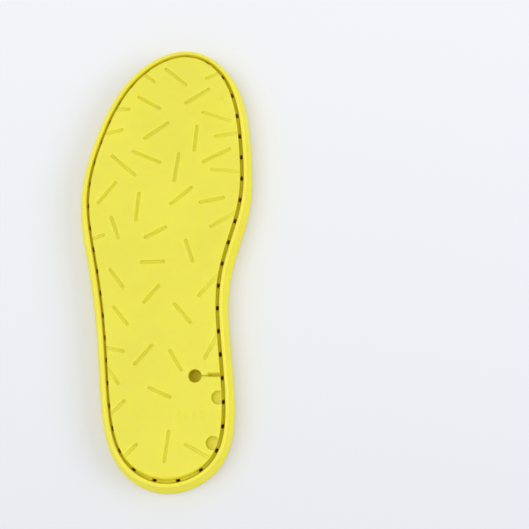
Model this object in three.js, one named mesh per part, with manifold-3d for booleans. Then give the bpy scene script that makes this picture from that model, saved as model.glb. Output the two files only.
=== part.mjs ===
// Sole unit of a rubber garden clog, EU 37/38, right foot, lying with its tread up.
// Millimetres. +Z points out of the tread, +Y to the toe, +X to the arch side.
// The origin is under the middle of the sole, on the plane that its foot side rests on.
import * as THREE from 'three';
import { mergeVertices } from 'three/addons/utils/BufferGeometryUtils.js';
import Module from 'manifold-3d';

const wasm = await Module();
wasm.setup();

// Heights above the plane that the foot side rests on
const HEIGHT = 16;
const CHANNEL_FLOOR = 12.6;
const LEDGE_TOP = 4.2;
const GAP = 0.3;                      // clearance between pieces that are glued together
const PLATE_LOW = LEDGE_TOP + GAP;
const BOARD = { low: 2.9, high: LEDGE_TOP };
const FOAM = { low: 0.9, high: BOARD.low - GAP };
const COVER = { low: 0.2, high: FOAM.low - GAP };

// Widths, measured outwards from the edge of the tread plate. Each starts from its mean, and
// changes by these amounts towards the arch side (the opposite on the outer side), the toe and
// the back of the heel.
const CHANNEL = { mean: 1.55, arch: 0.3, toe: -0.35, heel: 0.1 };       // floor of the channel
const CHANNEL_SLOPE = { mean: 0.35, arch: -0.1, toe: 0.05, heel: 0 };   // lean of its outer wall
const RIM_EDGE = { mean: 4.1, arch: 0, toe: -0.5, heel: 0 };            // outer edge of the rim
const FLARE = { mean: 2.6, arch: 0.1, toe: 0, heel: 0.7 };              // lean of the side wall
const WALL_FOOT = 2.5;                // height of the upright band at the bottom of the side wall
const EDGE_ROUND = 0.9;               // rounding of the outer edge of the rim, in two facets
const FOOT_CHAMFER = 0.5;
const LEDGE_INNER = -1.6;             // inner edge of the ledge that carries the tread plate
const FOOTBED_EDGE = LEDGE_INNER - GAP;
const OUTLINE_STEPS = 112;
const OUTLINE_SAMPLES = 1600;         // fine points that distances along the outline are measured on
const ROUND_SIDES = 24;
const BAR_END_STEPS = 4;

const HOLES = { count: 44, length: 2.6, width: 1.8, archShift: 0.42, archEnd: 24 };
const GROOVE = { width: 1.9, depth: 1 };
const POCKET = { x: 16.6, y: -62.3, radius: 3.6, depth: 8.6 };
const NECK = { width: 1.6, reach: 17, depth: 3.4, ramp: 0.12 };
const DIMPLES = { radius: 3.7, depth: 1.7, ramp: 0.3, places: [[29.4, -74.2], [26.6, -99]] };

// Hollows on the foot side of the tread plate, and what fills them
const CORE_TOP = 11;                  // leaves 5 mm of rubber under the tread
const CORE_INSET = 7;
const FOREFOOT_CORE = { from: 14, to: 112 };
const HEEL_CORE = { from: -116, to: -72 };
const FILLER_PLAY = 0.4;
const SHANK = { x: -4, y: -26, length: 72, width: 14, thick: 1.2 };
const RIB = { width: 3, length: 50, rise: 0.4 };
const EYES = { radius: 2, spread: 60 };
const SHANK_SLOT_TOP = 6.6;

// Edge of the tread plate: control points of a closed uniform cubic B-spline, from the toe
// down the outer side, round the heel and back up the arch side.
const OUTLINE = [
  [10, 128.5], [-23, 107.5], [-38.5, 71], [-47, 37.5], [-38.5, 1], [-33, -36], [-31, -70],
  [-26.5, -108.5], [0.5, -124], [30, -109.5], [32.5, -78.5], [28.5, -42], [26, -4.5],
  [42, 34], [41, 65], [37, 108.5],
];

// Tread grooves inside the plate: middle, direction in degrees and length
const GROOVES = [
  [3.9, 109.7, 141, 16.5], [-11.1, 94.2, 150, 15.5], [16.4, 98.2, 32, 17], [-6.8, 77.7, 35, 17.5],
  [15.6, 73.2, 84, 15.5], [-12.2, 62.2, 157, 18], [-25.2, 57.2, 140, 19], [4.9, 56.2, 81, 17.5],
  [27.6, 63.2, 27, 18.5], [-34.4, 41.2, 51, 16.5], [-16.9, 33.2, 84, 17], [7.9, 39.7, 39, 16.5],
  [25.2, 37.2, 12, 15], [-29.4, 21.2, 110, 14], [-6.4, 18.5, 28, 14.5], [12.6, 7.9, 109, 14],
  [-7.9, 1.6, 2, 14], [-27.8, -7.8, 127, 14], [-8.1, -16.5, 49, 14], [-25.2, -28.8, 129, 13.7],
  [9.3, -27.5, 131, 15], [-12, -50.6, 48, 15.5], [5.7, -53.6, 121, 14], [-2.9, -71.4, 156, 14],
  [1.4, -100.8, 82, 18],
];
// Tread grooves that run out over the edge: inner end, and direction towards the edge
const RUNOUTS = [
  [21.8, 108.9, 25], [20, 88.6, -18], [-22.7, 90.4, 180], [27.2, 74.4, 9], [-26.5, 78.2, 195],
  [25.1, 55, -5], [24.8, 21.9, 31], [-35.9, 16.8, 200], [-8.7, 107.1, 143],
  [18.4, -17.3, 47], [22, -52.5, 62], [-23.4, -48.7, 168], [-25.8, -66.3, 126],
  [-22.3, -76.2, 225], [-15, -99.8, 226], [12, -100.1, -28],
];
const RUNOUT = { length: 18, fade: 0.6 };   // fade: share of its depth lost on the way out

function splinePoint(t) {
  const n = OUTLINE.length;
  const k = Math.floor(t * n);
  const w = t * n - k;
  const weights = [(1 - w) ** 3, 3 * w ** 3 - 6 * w ** 2 + 4, -3 * w ** 3 + 3 * w ** 2 + 3 * w + 1, w ** 3];
  const point = new THREE.Vector2();
  weights.forEach((weight, j) => {
    const control = OUTLINE[(k + j - 1 + n) % n];
    point.x += (weight * control[0]) / 6;
    point.y += (weight * control[1]) / 6;
  });
  return point;
}

// Points along the edge of the tread plate, each with its outward normal. They start at the
// back of the heel and go round by the arch side; place(i) counts in even spaces.
function alongOutline(count, place = (i) => i) {
  const fine = Array.from({ length: OUTLINE_SAMPLES }, (_, i) => splinePoint(i / OUTLINE_SAMPLES));
  const back = fine.reduce((lowest, p, i) => (p.y < fine[lowest].y ? i : lowest), 0);
  fine.push(...fine.splice(0, back));
  const walked = [0];
  fine.forEach((p, i) => walked.push(walked[i] + p.distanceTo(fine[(i + 1) % fine.length])));
  const points = [];
  for (let i = 0, k = 0; i < count; i += 1) {
    const s = (place(i) / count) * walked[fine.length];
    while (walked[k + 1] < s) k += 1;
    const from = fine[k];
    const to = fine[(k + 1) % fine.length];
    const at = from.clone().lerp(to, (s - walked[k]) / (walked[k + 1] - walked[k]));
    const along = to.clone().sub(from).normalize();
    points.push({ at, normal: new THREE.Vector2(along.y, -along.x) });
  }
  return points;
}

const ring = alongOutline(OUTLINE_STEPS);
const width = ({ mean, arch, toe, heel }, { normal }) => (
  mean + arch * normal.x + toe * Math.max(0, normal.y) ** 3 + heel * Math.max(0, -normal.y) ** 2);
const offsetPoint = (p, distance) => p.at.clone().addScaledVector(p.normal, distance);
const variedShape = (distance) => new THREE.Shape(ring.map((p) => offsetPoint(p, distance(p))));
const offsetShape = (distance) => variedShape(() => distance);

// The sole stands centred on the origin: this is the middle of its foot side.
const footSide = ring.map((p) => offsetPoint(p, width(RIM_EDGE, p) + width(FLARE, p)));
const middle = new THREE.Box2().setFromPoints(footSide).getCenter(new THREE.Vector2());

function toSolid(geometry) {
  const bare = geometry.clone();
  bare.deleteAttribute('normal');
  bare.deleteAttribute('uv');
  const merged = mergeVertices(bare, 1e-4);
  return new wasm.Manifold(new wasm.Mesh({
    numProp: 3,
    vertProperties: new Float32Array(merged.attributes.position.array),
    triVerts: new Uint32Array(merged.index.array),
  }));
}

function toGeometry(solid) {
  const mesh = solid.getMesh();
  const geometry = new THREE.BufferGeometry();
  geometry.setAttribute('position', new THREE.BufferAttribute(mesh.vertProperties, 3));
  geometry.setIndex(new THREE.BufferAttribute(mesh.triVerts, 1));
  return geometry;
}

// A flat slab with an outline, between two heights.
function slab(shape, low, high) {
  const geometry = new THREE.ExtrudeGeometry(shape, { depth: high - low, bevelEnabled: false });
  geometry.translate(0, 0, low);
  return toSolid(geometry);
}

function block(x, y, width, length, low, high) {
  const geometry = new THREE.BoxGeometry(width, length, high - low);
  geometry.translate(x, y, (low + high) / 2);
  return toSolid(geometry);
}

// An upright post, for a round hole or pocket. With a ramp, its foot rises to +X by that slope.
function post(x, y, radius, low, high, ramp = 0) {
  const geometry = new THREE.CylinderGeometry(radius, radius, high - low, ROUND_SIDES);
  geometry.rotateX(Math.PI / 2);
  geometry.translate(0, 0, (high - low) / 2);
  geometry.rotateY(-Math.atan(ramp));
  geometry.translate(x, y, low);
  return toSolid(geometry);
}

// An upright bar with round ends. With a ramp, its far end rises by that slope.
function roundBar(x, y, degrees, length, width, low, high, ramp = 0) {
  const r = width / 2;
  const run = length / 2 - r;
  const shape = new THREE.Shape();
  shape.absarc(run, 0, r, -Math.PI / 2, Math.PI / 2);
  shape.absarc(-run, 0, r, Math.PI / 2, (3 * Math.PI) / 2);
  const geometry = new THREE.ExtrudeGeometry(shape, {
    depth: high - low, bevelEnabled: false, curveSegments: BAR_END_STEPS,
  });
  geometry.rotateY(-Math.atan(ramp));
  geometry.rotateZ(THREE.MathUtils.degToRad(degrees));
  geometry.translate(x, y, low);
  return toSolid(geometry);
}

// A closed band swept round the outline. Its section lists [distance from the edge of the
// tread plate, height], anticlockwise.
function sweptBand(section) {
  const positions = [];
  const index = [];
  const corners = section(ring[0]).length;
  const vertex = (i, j) => (i % ring.length) * corners + (j % corners);
  ring.forEach((p, i) => {
    section(p).forEach(([distance, z], j) => {
      const at = offsetPoint(p, distance);
      positions.push(at.x, at.y, z);
      index.push(vertex(i, j), vertex(i + 1, j), vertex(i, j + 1));
      index.push(vertex(i, j + 1), vertex(i + 1, j), vertex(i + 1, j + 1));
    });
  });
  const geometry = new THREE.BufferGeometry();
  geometry.setAttribute('position', new THREE.Float32BufferAttribute(positions, 3));
  geometry.setIndex(index);
  return toSolid(geometry);
}

const subtractAll = (solid, cutters) => cutters.reduce((left, cutter) => left.subtract(cutter), solid);

// The stitches straddle the back of the heel, and are a little wider apart up the arch side.
const holePlace = (i) => i + 0.5 + HOLES.archShift * Math.sin(Math.PI * Math.min(1, i / HOLES.archEnd));
const stitchHoles = alongOutline(HOLES.count, holePlace).map((p) => {
  const at = offsetPoint(p, width(CHANNEL, p) / 2);
  const along = THREE.MathUtils.radToDeg(p.normal.angle()) + 90;
  return roundBar(at.x, at.y, along, HOLES.length, HOLES.width, -1, HEIGHT);
});

// Side wall and rim, with an inner ledge at the foot side that carries the tread plate.
function rimCup() {
  const section = (p) => {
    const channel = width(CHANNEL, p);
    const top = width(RIM_EDGE, p);
    const foot = top + width(FLARE, p);
    return [
      [LEDGE_INNER, 0], [foot - FOOT_CHAMFER, 0], [foot, FOOT_CHAMFER], [foot, WALL_FOOT],
      [top + 0.1, HEIGHT - EDGE_ROUND], [top - EDGE_ROUND / 3, HEIGHT - EDGE_ROUND / 3],
      [top - EDGE_ROUND, HEIGHT],
      [channel + width(CHANNEL_SLOPE, p), HEIGHT], [channel, CHANNEL_FLOOR],
      [channel, LEDGE_TOP], [LEDGE_INNER, LEDGE_TOP],
    ];
  };
  return subtractAll(sweptBand(section), stitchHoles);
}

// A hollow in the foot side of the tread plate, or with play, the piece that fills it.
function core({ from, to }, play, low, high) {
  const length = to - from - 2 * play;
  const span = block(0, (from + to) / 2, 200, length, low - 1, high + 1);
  return slab(offsetShape(-CORE_INSET - play), low, high).intersect(span);
}

// The tread plate stands on a flange that is notched for the stitches.
function treadPlate() {
  const flange = slab(variedShape((p) => width(CHANNEL, p) - GAP), PLATE_LOW, CHANNEL_FLOOR);
  const body = slab(offsetShape(0), PLATE_LOW, HEIGHT).add(flange);
  const grooveLow = HEIGHT - GROOVE.depth;
  const grooves = GROOVES.map(([x, y, degrees, length]) => (
    roundBar(x, y, degrees, length, GROOVE.width, grooveLow, HEIGHT + 1)));
  const ramp = (GROOVE.depth * RUNOUT.fade) / RUNOUT.length;
  const reach = (RUNOUT.length - GROOVE.width) / 2;
  const runouts = RUNOUTS.map(([x, y, degrees]) => {
    const heading = THREE.MathUtils.degToRad(degrees);
    return roundBar(x + reach * Math.cos(heading), y + reach * Math.sin(heading), degrees,
      RUNOUT.length, GROOVE.width, grooveLow + reach * ramp, HEIGHT + 1, ramp);
  });
  const dimples = DIMPLES.places.map(([x, y]) => (
    post(x, y, DIMPLES.radius, HEIGHT - DIMPLES.depth, HEIGHT + 1, DIMPLES.ramp)));
  const pocket = post(POCKET.x, POCKET.y, POCKET.radius, HEIGHT - POCKET.depth, HEIGHT + 1);
  const neckLow = HEIGHT - NECK.depth + (NECK.reach * NECK.ramp) / 2;
  const neck = roundBar(POCKET.x + NECK.reach / 2, POCKET.y, 0, NECK.reach, NECK.width,
    neckLow, HEIGHT + 2, NECK.ramp);
  const below = PLATE_LOW - 1;
  const hollows = [
    core(FOREFOOT_CORE, 0, below, CORE_TOP), core(HEEL_CORE, 0, below, CORE_TOP),
    block(SHANK.x, SHANK.y, SHANK.width + 2 * FILLER_PLAY, SHANK.length + 2 * FILLER_PLAY,
      below, SHANK_SLOT_TOP),
  ];
  return subtractAll(body, [...stitchHoles, ...grooves, ...runouts, ...dimples, pocket, neck, ...hollows]);
}

const filler = (hollow) => core(hollow, FILLER_PLAY, PLATE_LOW, CORE_TOP - FILLER_PLAY);

// A spring-steel strip with a stiffening rib along its middle.
function shank() {
  const low = PLATE_LOW + GAP;
  const strip = roundBar(SHANK.x, SHANK.y, 90, SHANK.length, SHANK.width, low, low + SHANK.thick);
  const rib = roundBar(SHANK.x, SHANK.y, 90, RIB.length, RIB.width, low, low + SHANK.thick + RIB.rise);
  const eyes = [-1, 1].map((end) => (
    post(SHANK.x, SHANK.y + (end * EYES.spread) / 2, EYES.radius, low - 1, low + SHANK.thick + 1)));
  return subtractAll(strip.add(rib), eyes);
}

const footbedLayer = ({ low, high }) => slab(offsetShape(FOOTBED_EDGE), low, high);

const YELLOW = { color: 0xece24f, roughness: 0.55, metalness: 0 };
const PARTS = [
  ['rim_cup', rimCup(), YELLOW],
  ['tread_plate', treadPlate(), YELLOW],
  ['forefoot_filler', filler(FOREFOOT_CORE), { color: 0x4a4c50, roughness: 0.9, metalness: 0 }],
  ['heel_cushion', filler(HEEL_CORE), { color: 0x7fb2d6, roughness: 0.6, metalness: 0 }],
  ['shank', shank(), { color: 0xa9abad, roughness: 0.35, metalness: 1 }],
  ['insole_board', footbedLayer(BOARD), { color: 0xb98f5c, roughness: 0.85, metalness: 0 }],
  ['footbed_foam', footbedLayer(FOAM), { color: 0xe9e6dc, roughness: 0.9, metalness: 0 }],
  ['footbed_cover', footbedLayer(COVER), { color: 0x8f8a7d, roughness: 0.95, metalness: 0 }],
];

const sole = new THREE.Group();
sole.position.set(-middle.x, -middle.y, 0);
PARTS.forEach(([name, solid, finish]) => {
  const mesh = new THREE.Mesh(toGeometry(solid), new THREE.MeshStandardMaterial(finish));
  mesh.name = name;
  sole.add(mesh);
});

export default sole;
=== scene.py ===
"""Looks of a rubber garden clog sole unit, right foot, lying with its tread up.

The CAD frame gives the sizes. The two yellow mouldings and the soft inner pieces are
rebuilt here as fine meshes in the same places; the shank and the insole board keep their
CAD meshes. Lengths in the shape section are millimetres, as in the CAD source.
"""

import math

import bmesh
import bpy
import numpy as np
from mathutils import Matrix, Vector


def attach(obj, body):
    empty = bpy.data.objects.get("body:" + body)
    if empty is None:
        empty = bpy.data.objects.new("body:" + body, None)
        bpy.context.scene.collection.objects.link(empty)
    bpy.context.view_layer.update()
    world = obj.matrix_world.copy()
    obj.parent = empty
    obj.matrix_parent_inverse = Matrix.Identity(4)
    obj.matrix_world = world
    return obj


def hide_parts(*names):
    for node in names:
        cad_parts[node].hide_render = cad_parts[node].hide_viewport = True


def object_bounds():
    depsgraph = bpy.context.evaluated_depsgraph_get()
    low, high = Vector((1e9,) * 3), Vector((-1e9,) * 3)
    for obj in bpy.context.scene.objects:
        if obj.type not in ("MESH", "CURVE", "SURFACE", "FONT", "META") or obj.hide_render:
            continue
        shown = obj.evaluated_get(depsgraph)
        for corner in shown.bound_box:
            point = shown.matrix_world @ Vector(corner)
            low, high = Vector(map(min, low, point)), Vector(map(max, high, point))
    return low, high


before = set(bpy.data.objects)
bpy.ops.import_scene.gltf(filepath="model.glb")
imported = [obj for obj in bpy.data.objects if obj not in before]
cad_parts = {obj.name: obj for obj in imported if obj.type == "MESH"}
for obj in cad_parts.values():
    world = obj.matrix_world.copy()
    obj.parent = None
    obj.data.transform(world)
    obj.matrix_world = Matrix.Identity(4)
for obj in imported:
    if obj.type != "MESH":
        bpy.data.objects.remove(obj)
cad_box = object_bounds()

MM = 0.001

# ---------------------------------------------------------------- sizes
HEIGHT = (cad_box[1].z - cad_box[0].z) / MM
CHANNEL_FLOOR = 12.6
LEDGE_TOP = 4.2
PLATE_LOW = 4.5
GAP = 0.3
SEAM = 0.1                 # what shows of the gap between the glued mouldings

# Widths measured outwards from the edge of the tread plate: the mean, and the changes towards
# the arch side, the toe and the back of the heel
CHANNEL_WIDTHS = (1.55, 0.3, -0.35, 0.1)
SLOPE_WIDTHS = (0.35, -0.1, 0.05, 0)
RIM_EDGE_WIDTHS = (4.1, 0, -0.5, 0)
FLARE_WIDTHS = (2.6, 0.1, 0, 0.7)
WALL_FOOT = 2.5
EDGE_ROUND, LIP_ROUND, FOOT_ROUND = 0.9, 0.25, 0.7     # the rim's outside, inside and foot
TREAD_ROUND, HEEL_ROUND = 0.2, 2.3                     # the tread's edge, and more at the heel
LEDGE_INNER = -1.6
FOOTBED_EDGE = LEDGE_INNER - GAP
CORE_INSET, CORE_TOP, CORE_PLAY = 7.0, 11.0, 0.4
FOREFOOT_CORE = 14, 112
HEEL_CORE = -116, -72
SHANK_X, SHANK_Y, SHANK_LENGTH, SHANK_WIDTH, SHANK_SLOT_TOP = -4, -26, 72, 14, 6.6
FOAM_LOW, FOAM_HIGH = 0.9, 2.6
COVER_LOW, COVER_HIGH = 0.2, 0.6

HOLE_COUNT, HOLE_LENGTH, HOLE_WIDTH, HOLE_NARROW = 44, 2.6, 1.8, 1.0
ARCH_SHIFT, ARCH_END = 0.42, 24     # how far the arch side's holes move on, in pitches, and the last
GROOVE_WIDTH, GROOVE_DEPTH = 1.9, 1.0
RUNOUT_FADE = 0.6         # share of its depth that a run-out groove loses along its length
POCKET_X, POCKET_Y, POCKET_RADIUS, POCKET_DEPTH = 16.6, -62.3, 3.6, 8.6
NECK_REACH, NECK_DEPTH, NECK_RAMP = 17.0, 3.4, 0.12
DIMPLES = [(29.4, -74.2), (26.6, -99.0)]
DIMPLE_RADIUS, DIMPLE_DEPTH, DIMPLE_RAMP = 3.7, 1.7, 0.3
MARK_X, MARK_Y, MARK_CELL, MARK_COUNT = 12.2, -83.5, 4.2, 5
VENT_X, VENT_Y = 30.3, 96.7

# Edge of the tread plate: control points of a closed uniform cubic B-spline, from the toe
# down the outer side, round the heel and back up the arch side.
OUTLINE = [
    (10, 128.5), (-23, 107.5), (-38.5, 71), (-47, 37.5), (-38.5, 1), (-33, -36), (-31, -70),
    (-26.5, -108.5), (0.5, -124), (30, -109.5), (32.5, -78.5), (28.5, -42), (26, -4.5),
    (42, 34), (41, 65), (37, 108.5),
]

# Tread grooves inside the plate: middle, direction in degrees and length
GROOVES = [
    (3.9, 109.7, 141, 16.5), (-11.1, 94.2, 150, 15.5), (16.4, 98.2, 32, 17), (-6.8, 77.7, 35, 17.5),
    (15.6, 73.2, 84, 15.5), (-12.2, 62.2, 157, 18), (-25.2, 57.2, 140, 19), (4.9, 56.2, 81, 17.5),
    (27.6, 63.2, 27, 18.5), (-34.4, 41.2, 51, 16.5), (-16.9, 33.2, 84, 17), (7.9, 39.7, 39, 16.5),
    (25.2, 37.2, 12, 15), (-29.4, 21.2, 110, 14), (-6.4, 18.5, 28, 14.5), (12.6, 7.9, 109, 14),
    (-7.9, 1.6, 2, 14), (-27.8, -7.8, 127, 14), (-8.1, -16.5, 49, 14), (-25.2, -28.8, 129, 13.7),
    (9.3, -27.5, 131, 15), (-12, -50.6, 48, 15.5), (5.7, -53.6, 121, 14),
    (-2.9, -71.4, 156, 14), (1.4, -100.8, 82, 18),
]
# Tread grooves that run out over the edge: inner end, and direction towards the edge
RUNOUTS = [
    (21.8, 108.9, 25), (20, 88.6, -18), (-22.7, 90.4, 180), (27.2, 74.4, 9),
    (-26.5, 78.2, 195), (25.1, 55, -5), (24.8, 21.9, 31), (-35.9, 16.8, 200),
    (-8.7, 107.1, 143), (18.4, -17.3, 47), (22, -52.5, 62), (-23.4, -48.7, 168),
    (-25.8, -66.3, 126), (-22.3, -76.2, 225), (-15, -99.8, 226), (12, -100.1, -28),
]
RUNOUT_LENGTH = 18

OUTLINE_STEPS = 640


# ---------------------------------------------------------------- outline
def spline(t):
    """Points and unit outward normals of the tread plate's edge at the parameters t, 0 to 1."""
    control = np.array(OUTLINE, float)
    n = len(control)
    k = np.floor(t * n).astype(int)
    w = t * n - k
    value = [(1 - w) ** 3, 3 * w**3 - 6 * w**2 + 4, -3 * w**3 + 3 * w**2 + 3 * w + 1, w**3]
    slope = [-3 * (1 - w) ** 2, 9 * w**2 - 12 * w, -9 * w**2 + 6 * w + 3, 3 * w**2]
    picked = [control[(k + j - 1) % n] for j in range(4)]
    point = sum(v[:, None] * c for v, c in zip(value, picked)) / 6
    along = sum(v[:, None] * c for v, c in zip(slope, picked)) / 6
    along /= np.linalg.norm(along, axis=1)[:, None]
    return point, np.stack([along[:, 1], -along[:, 0]], axis=1)


def along_outline(count, place):
    """Points along the edge, from the back of the heel round by the arch side."""
    t = np.linspace(0, 1, 6000, endpoint=False)
    point, _ = spline(t)
    first = int(point[:, 1].argmin())
    t = (t[first] + np.linspace(0, 1, 6001)) % 1
    point, _ = spline(t)
    walked = np.concatenate([[0], np.cumsum(np.linalg.norm(np.diff(point, axis=0), axis=1))])
    s = np.array([place(i) for i in range(count)]) / count * walked[-1]
    return spline((t[0] + np.interp(s, walked, np.linspace(0, 1, 6001))) % 1)


RING, NORMAL = along_outline(OUTLINE_STEPS, lambda i: i)


def width(widths, normal):
    """A width at points with these outward normals."""
    mean, arch, toe, heel = widths
    up = np.clip(normal[:, 1], 0, None)
    down = np.clip(-normal[:, 1], 0, None)
    return mean + arch * normal[:, 0] + toe * up**3 + heel * down**2


CHANNEL = width(CHANNEL_WIDTHS, NORMAL)
RIM_INSIDE = CHANNEL + width(SLOPE_WIDTHS, NORMAL)
RIM_OUTSIDE = width(RIM_EDGE_WIDTHS, NORMAL)
FOOT = RIM_OUTSIDE + width(FLARE_WIDTHS, NORMAL)
HEEL = np.clip(-NORMAL[:, 1], 0, None) ** 2

foot_side = RING + NORMAL * FOOT[:, None]
MIDDLE = (foot_side.min(axis=0) + foot_side.max(axis=0)) / 2


def arc(cx, cz, r, start, end, steps=6):
    """Points of an arc in a section, angles in degrees from the outward direction."""
    angles = np.radians(np.linspace(start, end, steps))
    return [(cx + r * math.cos(a), cz + r * math.sin(a)) for a in angles]


# ---------------------------------------------------------------- meshes
def new_object(name, verts, faces):
    """A mesh object from points in millimetres in the outline's frame."""
    verts = (np.asarray(verts, float) - [MIDDLE[0], MIDDLE[1], 0]) * MM
    mesh = bpy.data.meshes.new(name)
    mesh.from_pydata(verts.tolist(), [], faces)
    mesh.update()
    piece = bpy.data.objects.new(name, mesh)
    bpy.context.scene.collection.objects.link(piece)
    return piece


def cap(first, count, step=8):
    """Faces that close a ring, in strips from one of its sides to the other."""
    last = count // 2 - 1
    strips = [(i, min(i + step, last)) for i in range(0, last, step)]
    return [[first + j for j in range(i, k + 1)] +
            [first + count - 1 - j for j in range(k, i - 1, -1)] for i, k in strips]


def stack(name, rings, closed_section=False):
    """A solid through rings of points. The first and last rings are capped, or joined up."""
    count = len(rings[0])
    verts = np.concatenate(rings)
    faces = []
    spans = len(rings) if closed_section else len(rings) - 1
    for j in range(spans):
        a, b = j * count, ((j + 1) % len(rings)) * count
        for i in range(count):
            k = (i + 1) % count
            faces.append((a + i, a + k, b + k, b + i))
    if not closed_section:
        faces += [face[::-1] for face in cap(0, count)]
        faces += cap((len(rings) - 1) * count, count)
    return new_object(name, verts, faces)


def outline_ring(distance, z):
    """The outline moved out by a distance, which may differ from point to point."""
    flat = RING + NORMAL * np.broadcast_to(distance, len(RING))[:, None]
    height = np.broadcast_to(z, len(RING))
    return np.column_stack([flat, height])


def bar_ring(x, y, degrees, length, radius, z, width=GROOVE_WIDTH, fade=0, steps=12):
    """A flat ring in the shape of a bar with round ends. With fade, the bar's far end comes up
    towards the tread by that share of its depth."""
    ends = np.radians(np.linspace(-90, 90, steps))
    run = max(length / 2 - width / 2, 1e-4)
    right = np.column_stack([run + radius * np.cos(ends), radius * np.sin(ends)])
    flat = np.concatenate([right, -right])
    height = np.full(len(flat), float(z))
    if z < HEIGHT:
        height += (HEIGHT - z) * fade * np.clip(flat[:, 0] / length + 0.5, 0, 1)
    a = math.radians(degrees)
    turn = np.array([[math.cos(a), -math.sin(a)], [math.sin(a), math.cos(a)]])
    return np.column_stack([flat @ turn.T + [x, y], height])


def disc_ring(x, y, radius, z, steps=48):
    """A flat round ring."""
    a = np.linspace(0, 2 * math.pi, steps, endpoint=False)
    return np.column_stack([x + radius * np.cos(a), y + radius * np.sin(a), np.full(steps, z)])


def recess_profile(width, depth, corner, lip):
    """(radius, height) up a recess's wall: round bottom corner, straight wall, softened lip."""
    r = width / 2
    bottom = HEIGHT - depth
    profile = [(r - corner + corner * math.sin(a), bottom + corner - corner * math.cos(a))
               for a in np.radians(np.linspace(0, 90, 6))]
    profile += [(r + lip - lip * math.cos(a), HEIGHT - lip + lip * math.sin(a))
                for a in np.radians(np.linspace(0, 80, 6))]
    last_r, last_z = profile[-1]
    profile.append((last_r + 0.5, last_z + 0.12))
    profile.append((last_r + 0.5, HEIGHT + 2))
    return profile


# Slot 1 holds the stitch holes' walls, painted brown as shade; slot 2 the pocket, its slot and the dimples,
# painted darker as shade
SKIN, HOLE_SHADED, SHADED_RECESS = 0, 1, 2       # material slots of the yellow mouldings


def joined(name, parts, material_index=SKIN):
    """One cutter object out of several that don't touch. Its material stays on what it cuts."""
    verts, faces, base = [], [], 0
    for part in parts:
        mesh = part.data
        verts += [v.co[:] for v in mesh.vertices]
        faces += [tuple(base + i for i in p.vertices) for p in mesh.polygons]
        base += len(mesh.vertices)
        bpy.data.objects.remove(part)
    mesh = bpy.data.meshes.new(name)
    mesh.from_pydata(verts, [], faces)
    for _ in range(material_index + 1):
        mesh.materials.append(None)
    mesh.polygons.foreach_set("material_index", [material_index] * len(faces))
    piece = bpy.data.objects.new(name, mesh)
    bpy.context.scene.collection.objects.link(piece)
    return piece


def cut(piece, cutters):
    """Takes each cutter out of the piece, and leaves the result as its plain mesh."""
    for cutter in cutters:
        step = piece.modifiers.new("cut", "BOOLEAN")
        step.operation = "DIFFERENCE"
        step.solver = "MANIFOLD"
        step.object = cutter
    depsgraph = bpy.context.evaluated_depsgraph_get()
    mesh = bpy.data.meshes.new_from_object(piece.evaluated_get(depsgraph))
    piece.modifiers.clear()
    piece.data = mesh
    for cutter in cutters:
        bpy.data.objects.remove(cutter)


def smooth(piece, degrees=40):
    """Smooth shading that keeps large flat faces flat."""
    mesh = piece.data
    bm = bmesh.new()
    bm.from_mesh(mesh)
    bmesh.ops.remove_doubles(bm, verts=bm.verts, dist=2e-6)
    bmesh.ops.dissolve_degenerate(bm, edges=bm.edges, dist=1e-6)
    bm.to_mesh(mesh)
    bm.free()
    mesh.shade_smooth()
    mesh.set_sharp_from_angle(angle=math.radians(degrees))
    weigh = piece.modifiers.new("weighted normals", "WEIGHTED_NORMAL")
    weigh.keep_sharp = True
    weigh.weight = 100


def stitch_holes():
    """One cutter for all stitch holes, each narrowing from the channel's floor down."""
    def place(i):
        return i + 0.5 + ARCH_SHIFT * math.sin(math.pi * min(1, i / ARCH_END))

    point, normal = along_outline(HOLE_COUNT, place)
    centres = point + normal * width(CHANNEL_WIDTHS, normal)[:, None] / 2
    turns = np.degrees(np.arctan2(normal[:, 0], -normal[:, 1]))
    taper = [(HOLE_NARROW / 2, -1), (HOLE_NARROW / 2, CHANNEL_FLOOR - 3),
             (HOLE_WIDTH / 2, CHANNEL_FLOOR - 0.2), (HOLE_WIDTH / 2, CHANNEL_FLOOR + 0.15)]
    # Painted shade: the holes' walls take the rubber coloured brown
    return joined("holes", [
        stack("hole", [bar_ring(x, y, turn, HOLE_LENGTH, r, z, width=HOLE_WIDTH) for r, z in taper])
        for (x, y), turn in zip(centres, turns)], HOLE_SHADED)


def add_slots(piece):
    """Slots for the rubber's skin, for its stitch holes' walls painted brown as shade, and for
    its pocket, slot and dimples painted darker as shade.
    """
    for _ in (SKIN, HOLE_SHADED, SHADED_RECESS):
        piece.data.materials.append(None)


def rim_cup():
    """Side wall, rim and ledge, swept round the outline as one closed section."""
    wall = HEIGHT - WALL_FOOT - EDGE_ROUND
    lean = math.degrees(math.atan2(FLARE_WIDTHS[0], wall))
    inner_lean = math.degrees(math.atan2(SLOPE_WIDTHS[0], HEIGHT - CHANNEL_FLOOR))
    edge = np.zeros(OUTLINE_STEPS)
    section = [(edge + LEDGE_INNER, 0.2), (edge + LEDGE_INNER + 0.2, 0)]
    section += [(FOOT - FOOT_ROUND + dx, z) for dx, z in arc(0, FOOT_ROUND, FOOT_ROUND, -90, 0)]
    section += [(FOOT - 4 + dx, z) for dx, z in arc(0, WALL_FOOT - 0.4, 4, 0, lean, 5)]
    section += [(RIM_OUTSIDE - EDGE_ROUND + dx, z)
                for dx, z in arc(0, HEIGHT - EDGE_ROUND, EDGE_ROUND, lean, 90, 9)]
    section += [(RIM_INSIDE + dx, z)
                for dx, z in arc(LIP_ROUND, HEIGHT - LIP_ROUND, LIP_ROUND, 90, 180 - inner_lean, 5)]
    section += [(CHANNEL, CHANNEL_FLOOR), (CHANNEL, LEDGE_TOP), (edge + LEDGE_INNER, LEDGE_TOP)]
    piece = stack("rim_cup_rubber", [outline_ring(d, z) for d, z in section], closed_section=True)
    add_slots(piece)
    cut(piece, [stitch_holes()])
    smooth(piece)
    return piece


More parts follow.
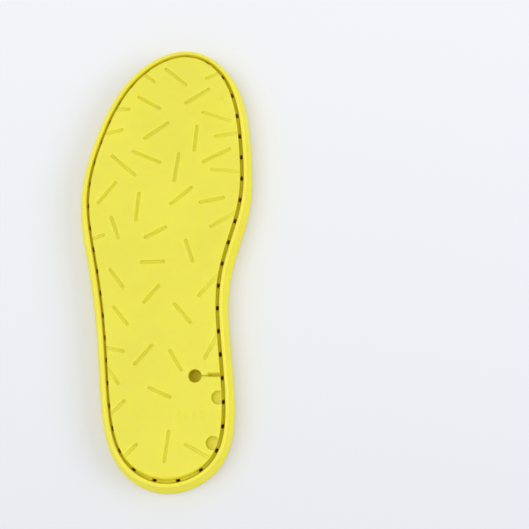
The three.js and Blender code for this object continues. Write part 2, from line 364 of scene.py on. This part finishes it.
def groove_cutters():
    """Bars for the grooves inside the tread and for those that run out over its edge."""
    profile = recess_profile(GROOVE_WIDTH, GROOVE_DEPTH, 0.6, 0.35)
    bars = [stack("bar", [bar_ring(x, y, turn, length, r, z) for r, z in profile])
            for x, y, turn, length in GROOVES]
    for x, y, turn in RUNOUTS:
        reach = RUNOUT_LENGTH / 2 - GROOVE_WIDTH / 2
        mx = x + reach * math.cos(math.radians(turn))
        my = y + reach * math.sin(math.radians(turn))
        bars.append(stack("bar", [
            bar_ring(mx, my, turn, RUNOUT_LENGTH, r, z, fade=RUNOUT_FADE) for r, z in profile]))
    return bars


def tilted(ring, x, ramp):
    """A ring below the tread that rises to +X by a slope, from its own height at x."""
    ring = ring.copy()
    if ring[0, 2] < HEIGHT:
        share = (HEIGHT - ring[0, 2]) / DIMPLE_DEPTH
        ring[:, 2] += share * ramp * (ring[:, 0] - x)
    return ring


def dimple_cutters():
    """Round dishes at the heel's arch side, which get shallower towards the edge."""
    profile = recess_profile(2 * DIMPLE_RADIUS, DIMPLE_DEPTH, 0.6, 0.3)
    return [stack("dimple", [tilted(disc_ring(x, y, r, z), x, DIMPLE_RAMP) for r, z in profile])
            for x, y in DIMPLES]


def pocket_cutters():
    """The knot pocket, and the slot that leads from it to the channel."""
    well = recess_profile(2 * POCKET_RADIUS, POCKET_DEPTH, 0.8, 0.3)
    # Painted shade: the pocket and the slot to the channel take the rubber coloured darker
    pocket = joined("pocket", [
        stack("well", [disc_ring(POCKET_X, POCKET_Y, r, z, 72) for r, z in well])], SHADED_RECESS)
    middle = POCKET_X + NECK_REACH / 2
    thin = recess_profile(0.8, 2.0, 0.3, 0.15)
    slit = stack("slit", [
        bar_ring(middle, POCKET_Y, 0, NECK_REACH, r, z, width=0.8) for r, z in thin])
    bank = [(0.35, -NECK_DEPTH, 0), (0.45, -NECK_DEPTH + 0.3, 0), (0.6, -2.4, 0.1),
            (0.95, -0.7, 0.45), (1.2, -0.15, 0.6), (1.7, 0.05, 0.6), (1.7, 2, 0.6)]
    start, length = 6.6, 12
    slot = joined("slot", [stack("bank", [
        bar_ring(POCKET_X + start + length / 2, POCKET_Y + shift, 0, length, r, HEIGHT + z,
                 width=2.4, fade=NECK_RAMP * length / NECK_DEPTH)
        for r, z, shift in bank])], SHADED_RECESS)
    return [pocket, slit, slot]


def mark_cutters():
    """A row of blank cells pressed into the heel, and the small ring of a mould vent."""
    blanks = []
    for i in range(MARK_COUNT):
        x = MARK_X + (i - (MARK_COUNT - 1) / 2) * MARK_CELL
        rings = [bar_ring(x, MARK_Y, 90, 5.0, r, HEIGHT + z, width=1.6)
                 for r, z in ((0.7, -0.18), (0.95, -0.03), (1.1, 0.05), (1.1, 1))]
        blanks.append(stack("cell", rings))
    section = [(0.8, 0.02), (0.95, -0.22), (1.15, -0.22), (1.3, 0.02), (1.3, 1), (0.8, 1)]
    vent = stack("vent", [disc_ring(VENT_X, VENT_Y, r, HEIGHT + z) for r, z in section],
                 closed_section=True)
    return blanks + [vent]


def side_to_side(y, inset):
    """x of the outer side and of the arch side of the outline at y, moved inwards."""
    flat = RING - NORMAL * inset
    toe = int(flat[:, 1].argmax())
    arch = np.interp(y, flat[:toe, 1], flat[:toe, 0])
    outer = np.interp(y, flat[:toe:-1, 1], flat[:toe:-1, 0])
    return outer, arch


def core_ring(span, inset, z, steps=60):
    """The outline of a hollow's filling, between two places along the sole, moved inwards."""
    inset_y = (RING - NORMAL * (CORE_INSET + inset))[:, 1]
    low = max(span[0] + inset, inset_y.min() + 0.05)
    high = min(span[1] - inset, inset_y.max() - 0.05)
    y = low + (high - low) * (1 - np.cos(np.linspace(0, math.pi, steps))) / 2
    outer, arch = side_to_side(y, CORE_INSET + inset)
    right = np.column_stack([arch, y, np.full(steps, z)])
    left = np.column_stack([outer, y, np.full(steps, z)])
    return np.concatenate([right, left[::-1]])


def hollow_cutters():
    """The two hollows in the plate's foot side, and the slot for the shank."""
    hollows = [stack("hollow", [core_ring(span, 0, z) for z in (PLATE_LOW - 1, CORE_TOP)])
               for span in (FOREFOOT_CORE, HEEL_CORE)]
    wide, long = SHANK_WIDTH + 2 * CORE_PLAY, SHANK_LENGTH + 2 * CORE_PLAY
    slot = stack("shank_slot", [bar_ring(SHANK_X, SHANK_Y, 90, long, wide / 2, z, width=wide)
                                for z in (PLATE_LOW - 1, SHANK_SLOT_TOP)])
    return [*hollows, slot]


def tread_plate():
    """The grooved field on its notched flange. Its edge is rounder at the back of the heel."""
    edge = TREAD_ROUND + HEEL_ROUND * HEEL
    drop = edge * (1 + 0.3 * HEEL)
    flange = CHANNEL - SEAM
    rings = [outline_ring(-6, PLATE_LOW), outline_ring(flange - 0.15, PLATE_LOW),
             outline_ring(flange, PLATE_LOW + 0.15), outline_ring(flange, CHANNEL_FLOOR - 0.15),
             outline_ring(flange - 0.15, CHANNEL_FLOOR), outline_ring(0.4, CHANNEL_FLOOR),
             outline_ring(0.12, CHANNEL_FLOOR + 0.12), outline_ring(0, CHANNEL_FLOOR + 0.4)]
    for a in np.radians(np.linspace(0, 90, 9)):
        rings.append(outline_ring(edge * (math.cos(a) - 1), HEIGHT - drop * (1 - math.sin(a))))
    piece = stack("tread_plate_rubber", rings)
    add_slots(piece)
    # The dimples, pocket and slot take the rubber painted darker as shade, the stitch holes the rubber
    # painted brown as shade
    cut(piece, [stitch_holes(), joined("bars", groove_cutters()),
                joined("dimples", dimple_cutters(), SHADED_RECESS), *pocket_cutters(),
                joined("marks", mark_cutters()), *hollow_cutters()])
    smooth(piece)
    return piece


def staggered(span, inset, pitch):
    """Places in staggered rows inside the outline, moved inwards, over a stretch of its length."""
    places = []
    for row, y in enumerate(np.arange(span[0], span[1], 0.87 * pitch)):
        outer, arch = side_to_side(y, inset)
        across = np.arange(-60, 60, pitch) + pitch / 2 * (row % 2)
        places += [(x, y) for x in across if outer < x < arch]
    return places


def core_pad(name, span, edge, pitch, cell):
    """What fills a hollow of the tread plate: soft edges, a low crown, and blind cells in rows."""
    high = CORE_TOP - CORE_PLAY
    rings = [core_ring(span, CORE_PLAY + edge / 2, PLATE_LOW),
             core_ring(span, CORE_PLAY, PLATE_LOW + edge / 2)]
    for a in np.radians(np.linspace(0, 90, 6)):
        rings.append(core_ring(span, CORE_PLAY + edge * (1 - math.cos(a)), high - edge * (1 - math.sin(a))))
    rings.append(core_ring(span, CORE_PLAY + edge + 4, high + 0.2))
    pad = stack(name, rings)
    cells = staggered((span[0] + 6, span[1] - 6), CORE_INSET + 6, pitch)
    depths = [(0.5, -1.8), (0.9, -1.5), (1, -0.3), (1.2, 0.25), (1.2, 2)]
    cut(pad, [joined("cells", [
        stack("cell", [disc_ring(x, y, share * cell, high + z, 20) for share, z in depths])
        for x, y in cells])])
    smooth(pad)
    return pad


def perforations():
    """Fine breathing holes through the footbed's foam and cover, under the forefoot."""
    return joined("perforations", [
        stack("perforation", [disc_ring(x, y, 0.8, z, 16) for z in (0, FOAM_HIGH + 1)])
        for x, y in staggered((25, 100), 11, 9)])


def footbed_foam():
    """The cushioning layer, with edges rounded by its own softness."""
    soft = (FOAM_HIGH - FOAM_LOW) / 2
    rings = [outline_ring(FOOTBED_EDGE - soft + dx, z)
             for dx, z in arc(0, FOAM_LOW + soft, soft, -90, 90, 9)]
    pad = stack("footbed_foam_layer", rings)
    cut(pad, [perforations()])
    smooth(pad)
    return pad


def footbed_cover():
    """The knitted lining, with a row of pressed-in sewing a little inside its edge."""
    edge, low, high = FOOTBED_EDGE, COVER_LOW, COVER_HIGH
    section = [(-5.0, low), (-4.6, low + 0.15), (-4.2, low), (-0.1, low), (0, low + 0.1),
               (0, high - 0.1), (-0.1, high)]
    lining = stack("footbed_lining", [outline_ring(edge + d, z) for d, z in section])
    cut(lining, [perforations()])
    smooth(lining)
    return lining


rim = rim_cup()
tread = tread_plate()
filler = core_pad("forefoot_foam_filler", FOREFOOT_CORE, 0.8, 9, 2.4)
cushion = core_pad("heel_gel_cushion", HEEL_CORE, 1.6, 6, 1.6)
foam = footbed_foam()
lining = footbed_cover()


# ---------------------------------------------------------------- materials
def node_material(name):
    """A new material, its nodes and links, and its shader."""
    material = bpy.data.materials.new(name)
    material.use_nodes = True
    nodes = material.node_tree.nodes
    return material, nodes, material.node_tree.links, nodes["Principled BSDF"]


def own_space(nodes, links, stretch=(1, 1, 1)):
    """A point of the object's own space, in metres, stretched along its axes."""
    place = nodes.new("ShaderNodeTexCoord")
    scaled = nodes.new("ShaderNodeVectorMath")
    scaled.operation = "MULTIPLY"
    scaled.inputs[1].default_value = stretch
    links.new(place.outputs["Object"], scaled.inputs[0])
    return scaled.outputs["Vector"]


def noise(nodes, links, place, scale, detail):
    """A noise texture over a place."""
    texture = nodes.new("ShaderNodeTexNoise")
    texture.inputs["Scale"].default_value = scale
    texture.inputs["Detail"].default_value = detail
    links.new(place, texture.inputs["Vector"])
    return texture.outputs["Fac"]


def cells(nodes, links, place, scale):
    """Distance from the middle of the nearest cell, 0 to about 1."""
    texture = nodes.new("ShaderNodeTexVoronoi")
    texture.inputs["Scale"].default_value = scale
    links.new(place, texture.inputs["Vector"])
    return texture.outputs["Distance"]


def ramp(nodes, links, value, stops):
    """A colour ramp over a value, from (position, colour) stops."""
    node = nodes.new("ShaderNodeValToRGB")
    elements = node.color_ramp.elements
    for position, _ in stops[2:]:
        elements.new(position)
    for element, (position, colour) in zip(elements, stops):
        element.position = position
        element.color = (*colour, 1)
    links.new(value, node.inputs["Fac"])
    return node.outputs["Color"]


def spread(nodes, links, value, start, end, low, high):
    """A value's range from start to end, stretched to low to high."""
    node = nodes.new("ShaderNodeMapRange")
    for name, number in (("From Min", start), ("From Max", end), ("To Min", low), ("To Max", high)):
        node.inputs[name].default_value = number
    links.new(value, node.inputs["Value"])
    return node.outputs["Result"]


def bump(nodes, links, height, distance, strength, below=None):
    """A bump from a height, on top of another bump if one is given."""
    node = nodes.new("ShaderNodeBump")
    node.inputs["Strength"].default_value = strength
    node.inputs["Distance"].default_value = distance
    links.new(height, node.inputs["Height"])
    if below:
        links.new(below, node.inputs["Normal"])
    return node.outputs["Normal"]


RIM_SHADE = (1, 0.95, 1)            # the rim is a touch warmer than the tread
RECESS_PAINTED_SHADE = (0.87, 0.86, 0.7)       # painted shade: the pocket, its slot and the dimples are darker and less yellow


def yellow_rubber(name, shade=(1, 1, 1)):
    """Moulded rubber with painted bounce light and shade: paler on the tread's top surface, and
    more saturated and brighter yellow below it, with faint clouding, a satin skin with fine
    grain and a slight orange peel. The shade multiplies its red, green and blue."""
    material, nodes, links, shader = node_material(name)
    place = own_space(nodes, links)
    axes = nodes.new("ShaderNodeSeparateXYZ")
    links.new(place, axes.inputs["Vector"])
    top = HEIGHT * MM
    # Painted bounce light and shade: the colour turns deeper and brighter yellow below the top
    height = spread(nodes, links, axes.outputs["Z"], top - 0.005, top, 0, 1)
    painted_bounce_tones = (0.91, 0.81, 0.002), (0.758, 0.698, 0.034), (0.765, 0.71, 0.060)
    colour = [tuple(s * c for s, c in zip(shade, tone)) for tone in painted_bounce_tones]
    clouded = [tuple(0.96 * c for c in tone) for tone in colour]
    places = 0.25, 0.8, 0.97
    tint = nodes.new("ShaderNodeMix")
    tint.data_type = "RGBA"
    cloud = spread(nodes, links, noise(nodes, links, place, 35, 3), 0.3, 0.7, 0, 1)
    links.new(cloud, tint.inputs["Factor"])
    links.new(ramp(nodes, links, height, list(zip(places, clouded))), tint.inputs["A"])
    links.new(ramp(nodes, links, height, list(zip(places, colour))), tint.inputs["B"])
    links.new(tint.outputs["Result"], shader.inputs["Base Color"])
    skin = noise(nodes, links, place, 180, 2)
    links.new(spread(nodes, links, skin, 0.3, 0.7, 0.52, 0.66), shader.inputs["Roughness"])
    peel = bump(nodes, links, noise(nodes, links, place, 420, 2), 0.00012, 0.15)
    grain = bump(nodes, links, noise(nodes, links, place, 2600, 4), 0.00005, 0.25, peel)
    links.new(grain, shader.inputs["Normal"])
    shader.inputs["Specular IOR Level"].default_value = 0.5
    shader.inputs["Subsurface Weight"].default_value = 1.0
    shader.inputs["Subsurface Radius"].default_value = (1.0, 0.85, 0.1)
    shader.inputs["Subsurface Scale"].default_value = 0.006
    return material


def foam_material(name, dark, light, size):
    """Foam with fine open cells, a matt skin and faint mottling."""
    material, nodes, links, shader = node_material(name)
    place = own_space(nodes, links)
    mottle = noise(nodes, links, place, 60, 4)
    links.new(ramp(nodes, links, mottle, [(0.3, dark), (0.7, light)]), shader.inputs["Base Color"])
    skin = bump(nodes, links, mottle, 0.0003, 0.2)
    fine = bump(nodes, links, cells(nodes, links, place, 1 / size), size / 4, 0.6, skin)
    links.new(fine, shader.inputs["Normal"])
    shader.inputs["Roughness"].default_value = 0.92
    shader.inputs["Specular IOR Level"].default_value = 0.25
    return material


def gel_material():
    """Soft translucent blue gel with a slightly wavy skin and faint milky clouds."""
    material, nodes, links, shader = node_material("blue_gel")
    place = own_space(nodes, links)
    cloud = noise(nodes, links, place, 90, 3)
    tint = [(0.35, (0.17, 0.40, 0.66)), (0.75, (0.27, 0.50, 0.69))]
    links.new(ramp(nodes, links, cloud, tint), shader.inputs["Base Color"])
    links.new(spread(nodes, links, cloud, 0.3, 0.7, 0.22, 0.34), shader.inputs["Roughness"])
    links.new(bump(nodes, links, cloud, 0.0004, 0.3), shader.inputs["Normal"])
    shader.inputs["Transmission Weight"].default_value = 0.35
    shader.inputs["Subsurface Weight"].default_value = 0.6
    shader.inputs["Subsurface Radius"].default_value = (0.3, 0.7, 1.0)
    shader.inputs["Subsurface Scale"].default_value = 0.003
    return material


def knit_material():
    """Brown-grey knit: rows of small loops, painted darker between them as shade, and a soft sheen."""
    material, nodes, links, shader = node_material("knitted_lining")
    loops = cells(nodes, links, own_space(nodes, links, (1.5, 1, 1)), 1100)
    wear = noise(nodes, links, own_space(nodes, links), 45, 4)
    # Painted shade: the yarn's colour darkens between the loops
    yarn_with_painted_shade = ramp(nodes, links, loops, [(0.1, (0.33, 0.305, 0.26)), (0.8, (0.15, 0.14, 0.12))])
    rubbed = ramp(nodes, links, wear, [(0.35, (0.88, 0.88, 0.88)), (0.7, (1.0, 0.99, 0.97))])
    tint = nodes.new("ShaderNodeMix")
    tint.data_type = "RGBA"
    tint.blend_type = "MULTIPLY"
    tint.inputs["Factor"].default_value = 1
    links.new(yarn_with_painted_shade, tint.inputs["A"])
    links.new(rubbed, tint.inputs["B"])
    links.new(tint.outputs["Result"], shader.inputs["Base Color"])
    links.new(bump(nodes, links, loops, -0.0003, 0.8), shader.inputs["Normal"])
    shader.inputs["Roughness"].default_value = 0.95
    shader.inputs["Sheen Weight"].default_value = 0.35
    shader.inputs["Sheen Roughness"].default_value = 0.5
    return material


def steel_material():
    """Rolled spring steel: fine lines along the strip and a slightly uneven blued tone."""
    material, nodes, links, shader = node_material("rolled_steel")
    lines = noise(nodes, links, own_space(nodes, links, (60, 1, 60)), 90, 5)
    tone = noise(nodes, links, own_space(nodes, links), 70, 3)
    tint = [(0.3, (0.40, 0.41, 0.43)), (0.7, (0.50, 0.50, 0.49))]
    links.new(ramp(nodes, links, tone, tint), shader.inputs["Base Color"])
    links.new(spread(nodes, links, lines, 0.3, 0.7, 0.24, 0.42), shader.inputs["Roughness"])
    links.new(bump(nodes, links, lines, 0.00005, 0.4), shader.inputs["Normal"])
    shader.inputs["Metallic"].default_value = 1
    return material


def board_material():
    """Pressed fibre board: short mottled fibres in tan and brown, with a dry, uneven face."""
    material, nodes, links, shader = node_material("fibre_board")
    fibres = noise(nodes, links, own_space(nodes, links, (3, 1, 1)), 320, 6)
    tint = [(0.3, (0.34, 0.18, 0.07)), (0.72, (0.62, 0.38, 0.18))]
    links.new(ramp(nodes, links, fibres, tint), shader.inputs["Base Color"])
    links.new(bump(nodes, links, fibres, 0.00015, 0.5), shader.inputs["Normal"])
    shader.inputs["Roughness"].default_value = 0.88
    return material


def hole_shaded_rubber():
    """Painted shade in the stitch holes: their rubber walls coloured brown, matt and rough."""
    material, nodes, links, shader = node_material("hole_shaded_rubber")
    rough = noise(nodes, links, own_space(nodes, links), 1500, 4)
    tint = [(0.3, (0.64, 0.30, 0.008)), (0.7, (0.76, 0.40, 0.012))]
    links.new(ramp(nodes, links, rough, tint), shader.inputs["Base Color"])
    links.new(bump(nodes, links, rough, 0.0002, 0.6), shader.inputs["Normal"])
    shader.inputs["Roughness"].default_value = 0.9
    return material


# Two copies of the yellow rubber are painted shade: brown in the stitch holes, darker in the pocket, its
# slot and the dimples
hole_shade = hole_shaded_rubber()
rim_yellow = yellow_rubber("rim_rubber", RIM_SHADE)
tread_yellow = yellow_rubber("tread_rubber")
recess_shaded_yellow = yellow_rubber("recess_shaded_rubber", RECESS_PAINTED_SHADE)
filler_foam = foam_material("charcoal_foam", (0.055, 0.055, 0.065), (0.085, 0.085, 0.095), 0.0009)
cream_foam = foam_material("cream_foam", (0.76, 0.73, 0.64), (0.85, 0.83, 0.76), 0.0006)
REPLACED = [
    (rim, "rim_cup", "rim_rubber", [rim_yellow, hole_shade]),
    (tread, "tread_plate", "tread_rubber", [tread_yellow, hole_shade, recess_shaded_yellow]),
    (filler, "forefoot_filler", "filler_foam", [filler_foam]),
    (cushion, "heel_cushion", "cushion_gel", [gel_material()]),
    (foam, "footbed_foam", "footbed_foam", [cream_foam]),
    (lining, "footbed_cover", "footbed_fabric", [knit_material()]),
]
for piece, node, slot, finishes in REPLACED:
    slots = piece.data.materials
    while len(slots) < len(finishes):
        slots.append(None)
    while len(slots) > len(finishes):
        slots.pop()
    for index, material in enumerate(finishes):
        slots[index] = material
    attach(piece, "root")
    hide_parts(node)
for node, material in (("shank", steel_material()), ("insole_board", board_material())):
    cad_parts[node].material_slots[0].material = material


# ---------------------------------------------------------------- stage, light and camera
# In metres, degrees and watts
FLOOR_SIZE, FLOOR_CLEARANCE = 6, 0.0002
CAMERA_TILT, CAMERA_HEIGHT = 10, 0.672
CAMERA_AIM = 0.055         # how far the view's middle lies to the arch side of the outline's origin
LENS, SENSOR = 82.9, 36    # millimetres


def floor():
    """A pale table with painted light: a little brighter towards the toe's end."""
    reach = FLOOR_SIZE / 2
    verts = [(-reach, -reach, 0), (reach, -reach, 0), (reach, reach, 0), (-reach, reach, 0)]
    mesh = bpy.data.meshes.new("floor")
    mesh.from_pydata(verts, [], [(0, 1, 2, 3)])
    piece = bpy.data.objects.new("floor", mesh)
    piece.location.z = -FLOOR_CLEARANCE
    bpy.context.scene.collection.objects.link(piece)
    material, nodes, links, shader = node_material("table")
    axes = nodes.new("ShaderNodeSeparateXYZ")
    links.new(own_space(nodes, links), axes.inputs["Vector"])
    # Painted light: the table's colour brightens towards the toe's end
    along = spread(nodes, links, axes.outputs["Y"], -0.15, 0.15, 0, 1)
    tone = ramp(nodes, links, along, [(0, (0.70, 0.71, 0.74)), (1, (0.765, 0.775, 0.80))])
    links.new(tone, shader.inputs["Base Color"])
    shader.inputs["Roughness"].default_value = 0.7
    mesh.materials.append(material)


def area_light(name, place, size, power):
    """A square lamp that points at the origin."""
    data = bpy.data.lights.new(name, "AREA")
    data.shape = "SQUARE"
    data.size = size
    data.energy = power
    lamp = bpy.data.objects.new(name, data)
    lamp.location = place
    lamp.rotation_euler = (-lamp.location).to_track_quat("-Z", "Y").to_euler()
    bpy.context.scene.collection.objects.link(lamp)


def studio():
    """Soft even daylight, a key lamp from the outer side and a weaker fill across from it."""
    world = bpy.data.worlds.new("studio")
    world.use_nodes = True
    back = world.node_tree.nodes["Background"]
    back.inputs["Color"].default_value = (0.93, 0.94, 0.965, 1)
    back.inputs["Strength"].default_value = 0.8
    bpy.context.scene.world = world
    area_light("key", (-0.8, 0.0, 1.7), 1.2, 11.5)
    area_light("fill", (1.3, 0.0, 1.1), 1.0, 7.5)


def camera():
    """A view from above, leaning back towards the heel."""
    tilt = math.radians(CAMERA_TILT)
    data = bpy.data.cameras.new("camera")
    data.lens = LENS
    data.sensor_width = SENSOR
    eye = bpy.data.objects.new("camera", data)
    aim_x = CAMERA_AIM - MIDDLE[0] * MM
    aim_y = -MIDDLE[1] * MM
    eye.location = (aim_x, aim_y - CAMERA_HEIGHT * math.tan(tilt), HEIGHT * MM + CAMERA_HEIGHT)
    eye.rotation_euler = (tilt, 0, 0)
    bpy.context.scene.collection.objects.link(eye)
    bpy.context.scene.camera = eye


floor()
studio()
camera()
bpy.context.scene.view_settings.view_transform = "Standard"
